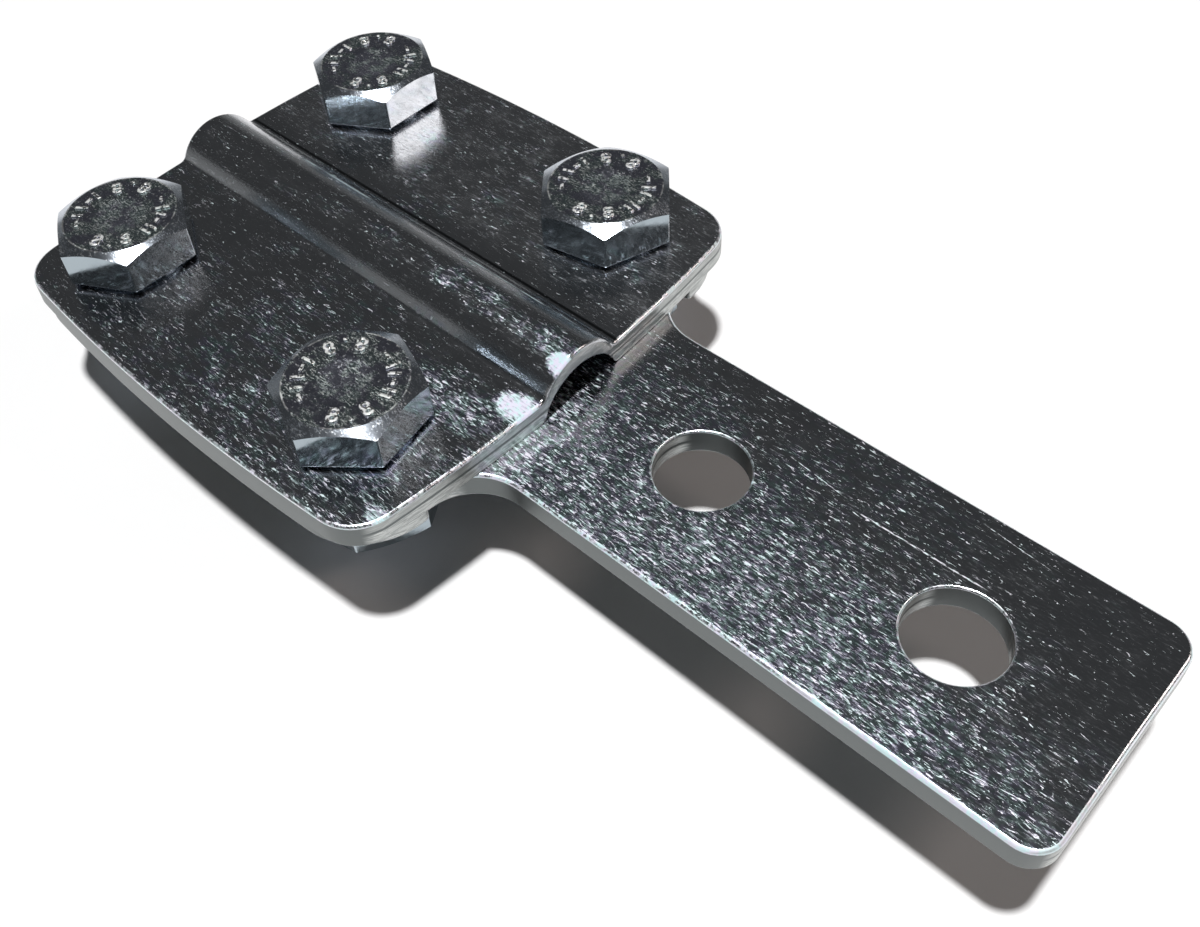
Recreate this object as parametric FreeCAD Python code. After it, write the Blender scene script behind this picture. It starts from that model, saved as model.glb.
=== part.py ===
import FreeCAD
import Part

import math
import os

from FreeCAD import Vector

# Lightning conductor test clamp, in millimetres.
# Origin: centre of the four bolts, on the face where the two plates meet.
# +X runs along the conductor to the end of the tail, +Z points to the bolt heads.

# Sheet of both plates, with the edges that the punch rolled over, drawn as flats
sheet = 2.75
rolled_edge = 0.45
rolled_hole = 0.28

# Base plate: a head under the clamp plate and a tail with two holes
head_length = 57.4
head_width = 55.6
head_side_bow = 1.6
head_end_bow = 0.5
tail_width = 24.6
tail_length = 56.9
tail_corner = 2.8
relief_radius = 6.1
relief_step = 0.75
relief_tip = 0.5
relief_root = 0.2
relief_land = 1.4
tail_hole = 9.0
tail_hole_pitch = 25.9
tail_hole_end = 14.7

# Bolts, set in from the edges of the head, and the holes that clear them
bolt_inset_x = 10.55
bolt_inset_y = 10.3
bolt_hole = 9.0

# Clamp plate: nearly the head's size, blanked a little off the centre of its channel
clamp_overhang = 0.1
clamp_underhang = 0.1
clamp_side_bow = 1.4
clamp_end_bow = 1.8
clamp_corner = 4.8
clamp_offset_x = 1.6
clamp_offset_y = -0.7

# Channel pressed into the clamp plate for a round conductor
channel_radius = 5.1
channel_height = 3.8
channel_wall = 2.0
channel_mouth = 0.6
channel_foot = 0.8

# Hexagon bolts
thread_diameter = 7.9
bolt_length = 16.0
bolt_flats = 13.0
bolt_head_height = 5.3
bolt_washer_face = 0.45
bolt_washer_diameter = 11.8
bolt_top_circle = 11.9
bolt_dish = 6.4
bolt_dish_floor = 4.0
bolt_dish_depth = 0.25
bolt_point = 0.9
bolt_turns = (29.3, 29.5, 10.7, 39.6)

# Hexagon nuts
nut_flats = 13.0
nut_height = 6.5
nut_circle = 11.9
nut_turns = (12.0, 47.0, 31.0, 5.0)
thread_clearance = 0.05

# Chamfer of hexagon ends, the soft edge of a forged hexagon, and room for cuts
hexagon_bevel = math.radians(30)
hexagon_edge = 0.25
margin = 5.0

# The head's corners take what the tail and its reliefs leave of the head's width.
head_corner = (head_width - tail_width) / 2 - relief_radius - relief_land
bolt_pitch_x = head_length - 2 * bolt_inset_x
bolt_pitch_y = head_width - 2 * bolt_inset_y
clamp_length = head_length + 2 * clamp_overhang
clamp_width = head_width - 2 * clamp_underhang
tail_reach = head_length / 2 + tail_length

bolt_places = [
    (side_x * bolt_pitch_x / 2, side_y * bolt_pitch_y / 2)
    for side_x, side_y in ((-1, -1), (-1, 1), (1, 1), (1, -1))
]
tail_hole_places = [
    (tail_reach - tail_hole_end - step * tail_hole_pitch, 0.0) for step in (1, 0)
]


def arc_radius(chord, bow):
    return (chord ** 2 / 4 + bow ** 2) / (2 * bow)


def corner_centre(side_centre, side_reach, end_centre, end_reach):
    # The first-quadrant point at given distances from the centres of a side and an end arc.
    span = end_centre - side_centre
    along = (span.Length ** 2 + side_reach ** 2 - end_reach ** 2) / (2 * span.Length)
    across = math.sqrt(side_reach ** 2 - along ** 2)
    unit = span / span.Length
    normal = Vector(-unit.y, unit.x, 0)
    if normal.x + normal.y < 0:
        normal = -normal
    return side_centre + unit * along + normal * across


def bowed_blank(length, width, side_bow, end_bow, corner, centre, bottom, thickness):
    # A four-sided blank with tangent corner arcs; length and width are taken across the
    # middles of its bowed sides.
    side_radius = arc_radius(length - 2 * end_bow, side_bow)
    end_radius = arc_radius(width - 2 * side_bow, end_bow)
    side_centre = Vector(0, width / 2 - side_radius, 0)
    end_centre = Vector(length / 2 - end_radius, 0, 0)
    middle = corner_centre(side_centre, side_radius - corner, end_centre, end_radius - corner)
    to_side = (middle - side_centre).normalize()
    to_end = (middle - end_centre).normalize()
    side_start = side_centre + to_side * side_radius
    end_start = end_centre + to_end * end_radius
    corner_mid = middle + (to_side + to_end).normalize() * corner
    side_mid = Vector(0, width / 2, 0)
    end_mid = Vector(length / 2, 0, 0)

    def mirrored(point, flip_x, flip_y):
        return Vector(centre[0] + flip_x * point.x, centre[1] + flip_y * point.y, bottom)

    arcs = []
    for flip in (1, -1):
        arcs += [
            Part.Arc(mirrored(end_start, flip, -flip), mirrored(end_mid, flip, flip),
                     mirrored(end_start, flip, flip)),
            Part.Arc(mirrored(end_start, flip, flip), mirrored(corner_mid, flip, flip),
                     mirrored(side_start, flip, flip)),
            Part.Arc(mirrored(side_start, flip, flip), mirrored(side_mid, flip, flip),
                     mirrored(side_start, -flip, flip)),
            Part.Arc(mirrored(side_start, -flip, flip), mirrored(corner_mid, -flip, flip),
                     mirrored(end_start, -flip, flip)),
        ]
    outline = Part.Wire([arc.toShape() for arc in arcs])
    return Part.Face(outline).extrude(Vector(0, 0, thickness))


def upright_edges(solid, height):
    return [
        edge
        for edge in solid.Edges
        if isinstance(edge.Curve, Part.Line)
        and abs(abs(edge.tangentAt(edge.FirstParameter).z) - 1) < 1e-6
        and abs(edge.Length - height) < 1e-6
    ]


def holes(places, diameter, bottom, height):
    return [
        Part.makeCylinder(diameter / 2, height, Vector(x, y, bottom)) for x, y in places
    ]


def lowest(edge):
    return min(point.z for point in edge.discretize(9))


def outer_rim(solid, level, places, diameter):
    # The edges round the outside of a plate's upper face, leaving out those of its holes.
    rim = []
    for edge in solid.Edges:
        if lowest(edge) < level - 1e-4:
            continue
        if any(math.hypot(edge.CenterOfMass.x - x, edge.CenterOfMass.y - y) < diameter / 2
               for x, y in places):
            continue
        if touches_outside(edge, solid):
            rim.append(edge)
    return rim


def hole_rims(solid, level, places):
    # The circles where holes open into a plate's upper face.
    return [
        edge
        for edge in solid.Edges
        if isinstance(edge.Curve, Part.Circle)
        and abs(edge.CenterOfMass.z - level) < 1e-4
        and any(math.hypot(edge.CenterOfMass.x - x, edge.CenterOfMass.y - y) < 1e-4
                for x, y in places)
    ]


def touches_outside(edge, solid):
    # True for an edge that borders an upright side wall of the blank.
    for face in solid.ancestorsOfType(edge, Part.Face):
        u0, u1, v0, v1 = face.ParameterRange
        normal = face.normalAt((u0 + u1) / 2, (v0 + v1) / 2)
        if abs(normal.z) < 1e-4:
            return True
    return False


def base_plate():
    bottom = -sheet
    head = bowed_blank(
        head_length, head_width, head_side_bow, head_end_bow, head_corner, (0, 0), bottom, sheet
    )
    tail = Part.makeBox(tail_reach, tail_width, sheet, Vector(0, -tail_width / 2, bottom))
    end_edges = [
        edge for edge in upright_edges(tail, sheet) if edge.CenterOfMass.x > tail_reach / 2
    ]
    plate = head.fuse(tail.makeFillet(tail_corner, end_edges))
    for side in (-1, 1):
        plate = relieve_corner(plate, side)
    plate = plate.cut(holes(bolt_places, bolt_hole, bottom, sheet))
    plate = plate.cut(holes(tail_hole_places, tail_hole, bottom, sheet))
    rim = outer_rim(plate, 0, bolt_places + tail_hole_places, bolt_hole)
    plate = plate.makeChamfer(rolled_edge, rim)
    return plate.makeChamfer(rolled_hole, hole_rims(plate, 0, tail_hole_places))


def head_end(across):
    # How far the head's bowed end reaches at a distance from the middle.
    radius = arc_radius(head_width - 2 * head_side_bow, head_end_bow)
    return head_length / 2 - radius + math.sqrt(radius ** 2 - across ** 2)


def relieve_corner(plate, side):
    # Step the head's end back beside the tail, fill the corner down to the tail with a round
    # web, and soften the two upright edges of the step.
    across = tail_width / 2 + relief_radius
    outer = head_end(across)
    inner = outer - relief_step
    low = min(side * tail_width / 2, side * across)
    notch = Part.makeBox(relief_step + margin, relief_radius, sheet, Vector(inner, low, -sheet))
    web = Part.makeBox(relief_radius, relief_radius, sheet, Vector(inner, low, -sheet))
    round_cut = Part.makeCylinder(
        relief_radius, sheet, Vector(inner + relief_radius, side * across, -sheet)
    )
    plate = plate.cut(notch).fuse(web.cut(round_cut)).removeSplitter()
    for reach, radius in ((outer, relief_tip), (inner, relief_root)):
        corner = [
            edge
            for edge in upright_edges(plate, sheet)
            if math.hypot(edge.CenterOfMass.x - reach, edge.CenterOfMass.y - side * across) < 1e-4
        ]
        plate = plate.makeFillet(radius, corner)
    return plate


def clamp_plate():
    # A long bar with the channel's section, trimmed to the outline of the blank. The press
    # leaves the wall thinner on the channel's flanks than on its crown.
    ridge_height = channel_height + channel_wall
    length = clamp_length + 2 * (abs(clamp_offset_x) + margin)
    width = clamp_width + 2 * (abs(clamp_offset_y) + margin)
    corner = Vector(-length / 2, -width / 2, 0)
    along = Vector(1, 0, 0)
    flat = Part.makeBox(length, width, sheet, corner)
    below = Part.makeBox(length, width, ridge_height, corner - Vector(0, 0, ridge_height))
    inside = Part.makeCylinder(
        channel_radius, length, Vector(corner.x, 0, channel_height - channel_radius), along
    )
    outside = inside.translated(Vector(0, 0, channel_wall))
    bar = flat.fuse(outside).cut([inside, below]).removeSplitter()
    bar = bar.makeFillet(channel_foot, channel_edges(bar, sheet))
    bar = bar.makeFillet(channel_mouth, channel_edges(bar, 0))
    blank = bowed_blank(
        clamp_length, clamp_width, clamp_side_bow, clamp_end_bow, clamp_corner,
        (clamp_offset_x, clamp_offset_y), 0, ridge_height + margin
    )
    plate = bar.common(blank)
    plate = plate.cut(holes(bolt_places, bolt_hole, 0, sheet))
    return plate.makeChamfer(rolled_edge, outer_rim(plate, sheet, bolt_places, bolt_hole))


def channel_edges(bar, level):
    # The two long edges where the channel meets a flat face of the plate.
    return [
        edge
        for edge in bar.Edges
        if isinstance(edge.Curve, Part.Line)
        and abs(edge.tangentAt(edge.FirstParameter).x) > 1 - 1e-6
        and abs(edge.CenterOfMass.z - level) < 1e-6
        and abs(edge.CenterOfMass.y) < channel_radius
    ]


def hexagon(flats, bottom, height):
    radius = flats / 2 / math.cos(math.pi / 6)
    corners = [
        Vector(radius * math.cos(step * math.pi / 3), radius * math.sin(step * math.pi / 3), bottom)
        for step in range(7)
    ]
    return Part.Face(Part.makePolygon(corners)).extrude(Vector(0, 0, height))


def turned(profile):
    # A solid of revolution about Z from (radius, height) pairs.
    points = [Vector(radius, 0, height) for radius, height in profile]
    outline = Part.makePolygon(points + points[:1])
    return Part.Face(outline).revolve(Vector(0, 0, 0), Vector(0, 0, 1), 360)


def bevel_drop(flats, circle):
    # How far the bevel cone falls from its circle to beyond the hexagon's corners.
    reach = flats / 2 / math.cos(math.pi / 6) + 1
    return reach, (reach - circle / 2) * math.tan(hexagon_bevel)


def placed(shape, place, turn, height):
    shape.rotate(Vector(0, 0, 0), Vector(0, 0, 1), turn)
    shape.translate(Vector(place[0], place[1], height))
    return shape


def hex_bolt(place, turn):
    # Modelled with its bearing face at zero, then set on the clamp plate.
    reach, drop = bevel_drop(bolt_flats, bolt_top_circle)
    head = hexagon(bolt_flats, bolt_washer_face, bolt_head_height - bolt_washer_face)
    lower = [
        edge for edge in head.Edges
        if abs(edge.CenterOfMass.z - bolt_washer_face) < 1e-6
    ]
    head = head.makeFillet(hexagon_edge, lower)
    bevel = turned([
        (0, bolt_washer_face),
        (reach, bolt_washer_face),
        (reach, bolt_head_height - drop),
        (bolt_top_circle / 2, bolt_head_height),
        (bolt_dish / 2, bolt_head_height),
        (bolt_dish_floor / 2, bolt_head_height - bolt_dish_depth),
        (0, bolt_head_height - bolt_dish_depth),
    ])
    head = head.common(bevel)
    washer_face = Part.makeCylinder(bolt_washer_diameter / 2, bolt_washer_face)
    radius = thread_diameter / 2
    shank = turned([
        (0, 0),
        (radius, 0),
        (radius, bolt_point - bolt_length),
        (radius - bolt_point, -bolt_length),
        (0, -bolt_length),
    ])
    bolt = head.fuse([washer_face, shank]).removeSplitter()
    return placed(bolt, place, turn, sheet)


def hex_nut(place, turn):
    # Modelled with its bearing face at zero and its body below, then set under the base plate.
    # Only its open end is bevelled: the other lies against the plate.
    reach, drop = bevel_drop(nut_flats, nut_circle)
    bevel = turned([
        (0, 0),
        (reach, 0),
        (reach, drop - nut_height),
        (nut_circle / 2, -nut_height),
        (0, -nut_height),
    ])
    bore = Part.makeCylinder(
        thread_diameter / 2 + thread_clearance, nut_height, Vector(0, 0, -nut_height)
    )
    nut = hexagon(nut_flats, -nut_height, nut_height).common(bevel).cut(bore)
    return placed(nut, place, turn, -sheet)


def save(name, shape):
    solids = shape.Solids
    if len(solids) != 1 or not solids[0].isValid():
        raise ValueError(name + " is not one valid solid")
    solids[0].exportStep("parts/" + name + ".step")
    print(name, round(solids[0].Volume, 1), "mm3")


os.makedirs("parts", exist_ok=True)
save("base_plate", base_plate())
save("clamp_plate", clamp_plate())
for number, place in enumerate(bolt_places):
    save("hex_bolt_" + str(number + 1), hex_bolt(place, bolt_turns[number]))
    save("hex_nut_" + str(number + 1), hex_nut(place, nut_turns[number]))
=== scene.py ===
import bmesh
import bpy
import math
from mathutils import Matrix, Vector


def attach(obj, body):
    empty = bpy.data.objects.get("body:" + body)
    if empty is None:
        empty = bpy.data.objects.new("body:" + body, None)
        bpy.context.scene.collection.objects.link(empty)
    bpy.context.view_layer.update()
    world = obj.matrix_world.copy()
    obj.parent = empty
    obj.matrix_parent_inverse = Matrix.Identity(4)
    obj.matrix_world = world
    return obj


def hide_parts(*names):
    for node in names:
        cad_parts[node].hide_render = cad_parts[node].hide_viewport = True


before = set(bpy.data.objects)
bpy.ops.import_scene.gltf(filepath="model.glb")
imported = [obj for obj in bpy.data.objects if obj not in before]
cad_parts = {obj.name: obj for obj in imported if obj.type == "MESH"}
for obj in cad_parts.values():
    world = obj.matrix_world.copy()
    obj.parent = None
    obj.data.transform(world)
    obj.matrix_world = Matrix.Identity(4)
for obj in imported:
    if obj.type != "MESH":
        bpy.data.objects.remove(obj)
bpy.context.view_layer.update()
mm = 0.001
weld = 0.001 * mm  # points closer than this are one
spare = 1.0  # how far a tool reaches past what it cuts, in mm
print("frame loaded:", len(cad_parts), "nodes")


# Drawing and cutting helpers

def clearSelection():
    if bpy.context.object and bpy.context.object.mode != "OBJECT":
        bpy.ops.object.mode_set(mode="OBJECT")
    bpy.ops.object.select_all(action="DESELECT")


def makeActive(obj):
    clearSelection()
    obj.select_set(True)
    bpy.context.view_layer.objects.active = obj


def onTop(point, level=0.0):  # drawing plane seen from above, in mm
    return Vector((point[0], point[1], level)) * mm


def onEnd(point, level=0.0):  # drawing plane across the channel, in mm
    return Vector((level, point[0], point[1])) * mm


def onSide(point, level=0.0):  # drawing plane through a bolt's axis, in mm
    return Vector((point[0], level, point[1])) * mm


def drawOutline(name, start, moves, place, axis, level=0.0, step=0.5):
    # each move is (end, centre): a straight stretch where centre is None, else an arc
    clearSelection()
    bpy.ops.mesh.primitive_plane_add(size=10 * weld, location=place(start, level))
    obj = bpy.context.object
    obj.name = name
    bpy.ops.object.transform_apply(location=True, rotation=False, scale=False)
    bpy.ops.object.mode_set(mode="EDIT")
    bpy.ops.mesh.select_mode(type="VERT")
    bpy.ops.mesh.merge(type="CENTER")
    here = Vector(start)
    for end, centre in moves:
        end = Vector(end)
        if centre is None:
            shift = place(end, level) - place(here, level)
            bpy.ops.mesh.extrude_region_move(TRANSFORM_OT_translate={"value": shift})
        else:
            fromAngle = math.atan2(here.y - centre[1], here.x - centre[0])
            toAngle = math.atan2(end.y - centre[1], end.x - centre[0])
            sweep = (toAngle - fromAngle + math.pi) % (2 * math.pi) - math.pi
            length = abs(sweep) * (end - Vector(centre)).length
            bpy.ops.mesh.spin(
                steps=max(4, round(length / step)), angle=-sweep,
                center=place(centre, level), axis=axis,
            )
        here = end
    bpy.ops.mesh.select_all(action="SELECT")
    bpy.ops.mesh.remove_doubles(threshold=weld)
    return obj


def fillAndPull(obj, shift):  # closes the drawn outline and extrudes it into a solid
    bpy.ops.mesh.select_all(action="SELECT")
    bpy.ops.mesh.edge_face_add()
    bpy.ops.mesh.extrude_region_move(TRANSFORM_OT_translate={"value": Vector(shift) * mm})
    bpy.ops.mesh.select_all(action="SELECT")
    bpy.ops.mesh.normals_make_consistent(inside=False)
    bpy.ops.object.mode_set(mode="OBJECT")


def turnOnLathe(obj, steps):  # turns a drawn half section about Z
    bpy.ops.mesh.select_all(action="SELECT")
    bpy.ops.mesh.spin(steps=steps, angle=2 * math.pi, center=(0, 0, 0), axis=(0, 0, 1))
    bpy.ops.mesh.select_all(action="SELECT")
    bpy.ops.mesh.remove_doubles(threshold=weld)
    bpy.ops.mesh.normals_make_consistent(inside=False)
    bpy.ops.object.mode_set(mode="OBJECT")


def combine(obj, tool, operation):  # boolean with a tool that is used up
    makeActive(obj)
    cut = obj.modifiers.new("cut", "BOOLEAN")
    cut.operation = operation
    cut.solver = "EXACT"
    cut.object = tool
    bpy.ops.object.modifier_apply(modifier=cut.name)
    bpy.data.objects.remove(tool, do_unlink=True)


def drill(obj, places, radius, low, high, sides):
    for x, y in places:
        clearSelection()
        bpy.ops.mesh.primitive_cylinder_add(
            vertices=sides, radius=radius * mm, depth=(high - low) * mm,
            location=(x * mm, y * mm, (low + high) / 2 * mm),
        )
        combine(obj, bpy.context.object, "DIFFERENCE")


def roundEdges(obj, wanted, width, segments):  # bevels the edges that wanted() picks
    makeActive(obj)
    bpy.ops.object.mode_set(mode="EDIT")
    bpy.ops.mesh.select_mode(type="EDGE")
    bpy.ops.mesh.select_all(action="DESELECT")
    mesh = bmesh.from_edit_mesh(obj.data)
    for edge in mesh.edges:
        if len(edge.link_faces) == 2:
            middle = (edge.verts[0].co + edge.verts[1].co) / 2 / mm
            normals = sorted((face.normal for face in edge.link_faces), key=lambda n: n.z)
            edge.select_set(wanted(edge, middle, normals))
    bmesh.update_edit_mesh(obj.data)
    bpy.ops.mesh.bevel(offset=width * mm, segments=segments, profile=0.5, affect="EDGES")
    bpy.ops.object.mode_set(mode="OBJECT")


def upperRim(normals, level=0.9, upright=0.1):  # where a top face meets an upright one
    return normals[1].z > level and abs(normals[0].z) < upright


def lowerRim(normals, level=0.9, upright=0.1):
    return normals[0].z < -level and abs(normals[1].z) < upright


def smoothPiece(obj, degrees=32):
    makeActive(obj)
    bpy.ops.object.shade_smooth_by_angle(angle=math.radians(degrees))
    weigh = obj.modifiers.new("even shading", "WEIGHTED_NORMAL")
    weigh.keep_sharp = True
    bpy.ops.object.modifier_apply(modifier=weigh.name)


def copyTo(model, name, matrix):
    copy = model.copy()
    copy.data = model.data.copy()
    copy.name = copy.data.name = name
    copy.data.transform(matrix)
    bpy.context.collection.objects.link(copy)
    return copy


# Outline of a blanked sheet with bowed sides

def arcRadius(chord, bow):
    return (chord ** 2 / 4 + bow ** 2) / (2 * bow)


def touchPoint(centreA, reachA, centreB, reachB):
    # where circles about A and B cross, on their upper right side
    a, b = Vector(centreA), Vector(centreB)
    span = (b - a).length
    along = (span ** 2 + reachA ** 2 - reachB ** 2) / (2 * span)
    across = math.sqrt(reachA ** 2 - along ** 2)
    unit = (b - a) / span
    normal = Vector((-unit.y, unit.x))
    if normal.x + normal.y < 0:
        normal = -normal
    return a + unit * along + normal * across


def toward(centre, other, distance):
    centre = Vector(centre)
    return centre + (Vector(other) - centre).normalized() * distance


def bowedQuarter(size):
    # centres and joints of the arcs of one quarter of a bowed blank, in its own middle
    length, width = size["length"], size["width"]
    sideRadius = arcRadius(length - 2 * size["endBow"], size["sideBow"])
    endRadius = arcRadius(width - 2 * size["sideBow"], size["endBow"])
    sideCentre = Vector((0, width / 2 - sideRadius))
    endCentre = Vector((length / 2 - endRadius, 0))
    corner = touchPoint(sideCentre, sideRadius - size["corner"],
                        endCentre, endRadius - size["corner"])
    return {
        "sideCentre": sideCentre, "endCentre": endCentre, "corner": corner,
        "endRadius": endRadius,
        "onSide": toward(corner, corner + (corner - sideCentre), size["corner"]),
        "onEnd": toward(corner, corner + (corner - endCentre), size["corner"]),
    }


def flipped(point, sideX=1, sideY=1):
    return (point[0] * sideX, point[1] * sideY)


# Base plate

basePlate = {
    "sheet": 2.75,
    "head": {"length": 57.4, "width": 55.6, "sideBow": 1.6, "endBow": 0.5, "corner": 8.0},
    "tailWidth": 24.6,
    "tailReach": 85.6,
    "tailCorner": 2.8,
    "reliefRadius": 6.1,
    "reliefStep": 0.75,
    "reliefTip": 0.5,
    "reliefRoot": 0.2,
    "boltPitch": (36.3, 35.0),
    "boltHole": 9.0,
    "boltReach": 4.8,         # edges this close to a bolt's axis are its hole's
    "tailHole": 9.0,
    "tailHoles": (45.0, 70.9),
    "rolledEdge": 0.45,
    "rolledHole": 0.28,
    "burr": 0.12,
}
boltPlaces = [
    (side[0] * basePlate["boltPitch"][0] / 2, side[1] * basePlate["boltPitch"][1] / 2)
    for side in ((-1, -1), (-1, 1), (1, 1), (1, -1))
]


def nearBolt(middle):
    reach = basePlate["boltReach"]
    return any(math.hypot(middle.x - x, middle.y - y) < reach for x, y in boltPlaces)


def buildBasePlate():
    size = basePlate
    head = bowedQuarter(size["head"])
    half, reach = size["tailWidth"] / 2, size["tailReach"]
    across = half + size["reliefRadius"]
    endX = head["endCentre"].x + math.sqrt(head["endRadius"] ** 2 - across ** 2)
    radius, tip, root = size["reliefRadius"], size["reliefTip"], size["reliefRoot"]
    relief = Vector((endX - size["reliefStep"] + radius, across))
    rootCentre = Vector((relief.x - math.sqrt((radius - root) ** 2 - root ** 2), across - root))
    tipCentre = Vector((0, across + tip))
    tipCentre.x = head["endCentre"].x + math.sqrt(
        (head["endRadius"] - tip) ** 2 - tipCentre.y ** 2)
    tailCorner = (reach - size["tailCorner"], half - size["tailCorner"])

    upper = [  # from the tail's end round to the middle of the head's far end
        ((reach, tailCorner[1]), None),
        ((tailCorner[0], half), tailCorner),
        ((relief.x, half), None),
        (toward(relief, rootCentre, radius), relief),
        ((rootCentre.x, across), rootCentre),
        ((tipCentre.x, across), None),
        (toward(head["endCentre"], tipCentre, head["endRadius"]), tipCentre),
        (head["onEnd"], head["endCentre"]),
        (head["onSide"], head["corner"]),
        (flipped(head["onSide"], -1), head["sideCentre"]),
        (flipped(head["onEnd"], -1), flipped(head["corner"], -1)),
        ((-size["head"]["length"] / 2, 0), flipped(head["endCentre"], -1)),
    ]
    stops = [(reach, 0)] + [move[0] for move in upper]
    lower = [
        (flipped(stops[i], 1, -1), None if upper[i][1] is None else flipped(upper[i][1], 1, -1))
        for i in range(len(upper) - 1, -1, -1)
    ]
    plate = drawOutline("base_sheet", stops[0], upper + lower, onTop, (0, 0, 1))
    fillAndPull(plate, (0, 0, -size["sheet"]))

    tailPlaces = [(x, 0) for x in size["tailHoles"]]
    drill(plate, boltPlaces, size["boltHole"] / 2, -size["sheet"] - spare, spare,
          sides=48)
    drill(plate, tailPlaces, size["tailHole"] / 2, -size["sheet"] - spare, spare,
          sides=96)

    def holeRim(middle):
        return any(math.hypot(middle.x - x, middle.y - y) < size["tailHole"] / 2 + 0.05
                   for x, y in tailPlaces)

    def rim(edge, middle, normals):
        return upperRim(normals) and not nearBolt(middle) and not holeRim(middle)

    def holes(edge, middle, normals):
        return upperRim(normals) and holeRim(middle)

    def burr(edge, middle, normals):
        return lowerRim(normals) and not nearBolt(middle)

    roundEdges(plate, rim, size["rolledEdge"], segments=4)
    roundEdges(plate, holes, size["rolledHole"], segments=3)
    roundEdges(plate, burr, size["burr"], segments=2)
    smoothPiece(plate)
    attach(plate, "base")
    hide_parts("base_plate")
    print("base sheet:", len(plate.data.polygons), "faces")
    return plate


# Clamp plate with its channel

clampPlate = {
    "sheet": 2.75,
    "blank": {"length": 57.6, "width": 55.4, "sideBow": 1.4, "endBow": 1.8, "corner": 4.8},
    "offset": (1.6, -0.7),
    "channelRadius": 5.1,
    "channelHeight": 3.8,
    "channelWall": 2.0,
    "mouth": 0.6,
    "foot": 0.8,
    "boltHole": 9.0,
    "rolledEdge": 0.45,
    "burr": 0.12,
    "overrun": 4.0,           # how far the bar reaches past the blank
    "sharpest": 0.8,          # edges that turn by more than this are sheared, in radians
}


def channelSection(size, reach):
    # start and moves of the bar's closed section, from under its near edge round to its top
    radius, sheet = size["channelRadius"], size["sheet"]
    inner = Vector((0, size["channelHeight"] - radius))
    outer = inner + Vector((0, size["channelWall"]))
    mouthY = math.sqrt((radius + size["mouth"]) ** 2 - (size["mouth"] - inner.y) ** 2)
    mouth = Vector((mouthY, size["mouth"]))
    footZ = sheet + size["foot"]
    foot = Vector((math.sqrt((radius + size["foot"]) ** 2 - (footZ - outer.y) ** 2), footZ))
    onInner, onOuter = toward(inner, mouth, radius), toward(outer, foot, radius)
    moves = [
        ((-mouth.x, 0), None),
        (flipped(onInner, -1), flipped(mouth, -1)),
        (onInner, inner),
        ((mouth.x, 0), mouth),
        ((reach, 0), None),
        ((reach, sheet), None),
        ((foot.x, sheet), None),
        (onOuter, foot),
        (flipped(onOuter, -1), outer),
        ((-foot.x, sheet), flipped(foot, -1)),
        ((-reach, sheet), None),
    ]
    return (-reach, 0), moves


def buildClampPlate():
    size = clampPlate
    blank = bowedQuarter(size["blank"])
    half = size["blank"]["length"] / 2
    overrun = size["overrun"]
    start, moves = channelSection(size, size["blank"]["width"] / 2 + overrun)
    plate = drawOutline("clamp_sheet", start, moves, onEnd, (1, 0, 0), -half - overrun,
                        step=0.3)
    fillAndPull(plate, (2 * half + 2 * overrun, 0, 0))

    def shifted(point):
        return (point[0] + size["offset"][0], point[1] + size["offset"][1])

    joints = []
    for sideX, sideY in ((1, 1), (-1, 1), (-1, -1), (1, -1)):
        ends = [("onEnd", None), ("onSide", "corner")]
        if sideX * sideY < 0:
            ends = [("onSide", None), ("onEnd", "corner")]
        for name, centre in ends:
            flip = (sideX, sideY)
            if centre is None:
                centre = "endCentre" if name == "onEnd" else "sideCentre"
            joints.append((shifted(flipped(blank[name], *flip)),
                           shifted(flipped(blank[centre], *flip))))
    joints = joints[1:] + joints[:1]
    cutter = drawOutline("blank", joints[-1][0], joints, onTop, (0, 0, 1), -spare)
    fillAndPull(cutter, (0, 0, 12 * spare))
    combine(plate, cutter, "INTERSECT")

    def rim(edge, middle, normals):
        return upperRim(normals, 0.2, 0.05) and edge.calc_face_angle() > size["sharpest"]

    def burr(edge, middle, normals):
        return lowerRim(normals, 0.2, 0.05) and edge.calc_face_angle() > size["sharpest"]

    roundEdges(plate, rim, size["rolledEdge"], segments=4)
    roundEdges(plate, burr, size["burr"], segments=2)
    drill(plate, boltPlaces, size["boltHole"] / 2, -spare, size["sheet"] + spare,
          sides=48)
    smoothPiece(plate)
    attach(plate, "clamp")
    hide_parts("clamp_plate")
    print("clamp sheet:", len(plate.data.polygons), "faces")
    return plate


# Hexagon bolts

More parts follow.
